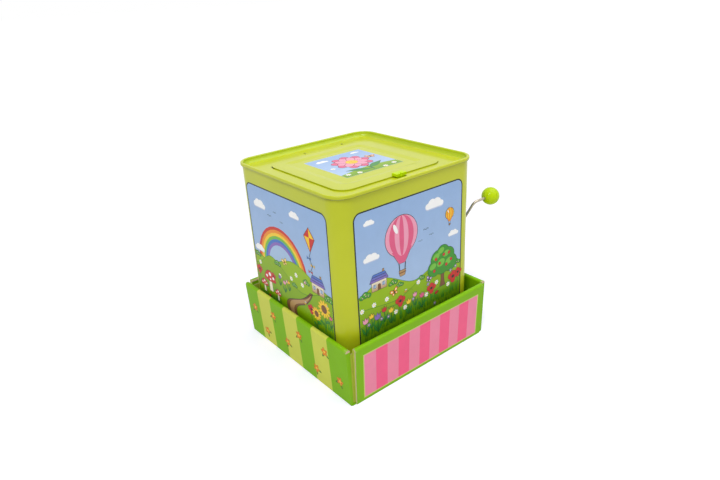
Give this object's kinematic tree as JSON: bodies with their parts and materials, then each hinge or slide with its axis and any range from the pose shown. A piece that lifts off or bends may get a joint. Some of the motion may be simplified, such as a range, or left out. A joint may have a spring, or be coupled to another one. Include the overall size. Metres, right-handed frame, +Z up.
{
  "type": "jack in the box",
  "caption": "Crank-operated tin jack in the box with a hinged lid, pop-up stuffed figure and musical movement, standing in an open card display tray.",
  "frame": {"origin": "on the tray's underside, on the tin box's vertical axis", "axes": "+Z up, -Y towards the front with the lid catch, +X towards the crank, +Y towards the lid hinge"},
  "size_m": [0.1884, 0.157, 0.166],
  "materials": {
    "tray_card": "printed, semi-gloss",
    "printed_tin": "gloss lithograph print",
    "bare_tin": "bare tinplate",
    "plated_steel": "zinc plated",
    "spring_steel": "bright",
    "nickel_wire": "nickel plated",
    "brass": "turned",
    "bush_plastic": "moulded",
    "gear_plastic": "moulded",
    "catch_plastic": "moulded",
    "knob_plastic": "moulded",
    "sleeve_cloth": "woven cotton",
    "plush": "short pile",
    "pale_plush": "short pile",
    "felt": "felt",
    "fibreboard": "plain",
    "black_plastic": "moulded"
  },
  "bodies": {
    "tray": {"display_tray": "tray_card"},
    "case": {"side_wrap": "printed_tin", "top_frame": "printed_tin", "base_pan": "bare_tin", "hinge_bracket": "plated_steel", "hinge_pin": "plated_steel", "hinge_rivets": "plated_steel", "crank_bush": "bush_plastic", "movement_frame": "plated_steel", "comb": "spring_steel", "comb_clamp": "brass", "comb_screws": "plated_steel", "release_brackets": "plated_steel", "spring_seat": "plated_steel", "pop_spring": "spring_steel", "sleeve": "sleeve_cloth"},
    "lid": {"lid_panel": "printed_tin", "lid_strap": "plated_steel", "lid_catch": "catch_plastic"},
    "crank": {"crank_wire": "nickel_wire", "crank_knob": "knob_plastic", "crank_collar": "brass", "crank_worm": "gear_plastic"},
    "drum": {"drum_axle": "plated_steel", "drum_gear": "gear_plastic", "gear_spacer": "brass", "axle_clip": "spring_steel", "tune_drum": "brass", "release_cam": "gear_plastic"},
    "release": {"release_shaft": "plated_steel", "latch_arm": "gear_plastic", "follower_arm": "gear_plastic", "release_spring": "spring_steel"},
    "figure": {"head_plate": "fibreboard", "torso": "plush", "head": "plush", "muzzle": "pale_plush", "nose": "black_plastic", "eyes": "black_plastic", "ear_left": "plush", "ear_right": "plush", "arm_left": "plush", "arm_right": "plush", "collar": "felt"}
  },
  "joints": [
    {"name": "box_lift", "type": "slide", "parent": "tray", "child": "case", "axis": [0, 0, 1], "range_m": [0, 0.06]},
    {"name": "lid_hinge", "type": "hinge", "parent": "case", "child": "lid", "pos_m": [0.0118, 0.05125, 0.1606], "axis": [-1, 0, 0], "range_deg": [0, 105]},
    {"name": "figure_pop", "type": "slide", "parent": "case", "child": "figure", "axis": [0, 0, 1], "range_m": [0, 0.085], "deforming": ["pop_spring", "sleeve"]},
    {"name": "crank_turn", "type": "hinge", "parent": "case", "child": "crank", "pos_m": [0.07, -0.038, 0.0815], "axis": [1, 0, 0], "continuous": true},
    {"name": "drum_turn", "type": "hinge", "parent": "case", "child": "drum", "pos_m": [0.04125, -0.05, 0.0955], "axis": [0, 1, 0], "continuous": true},
    {"name": "release_lever", "type": "hinge", "parent": "case", "child": "release", "pos_m": [0.002, -0.057, 0.128], "axis": [1, 0, 0], "range_deg": [0, 5.5]}
  ],
  "couplings": [
    {"joint": "figure_pop", "follows": "lid_hinge", "m_per_rad": 0.046382},
    {"joint": "drum_turn", "follows": "crank_turn", "ratio": 0.05}
  ]
}
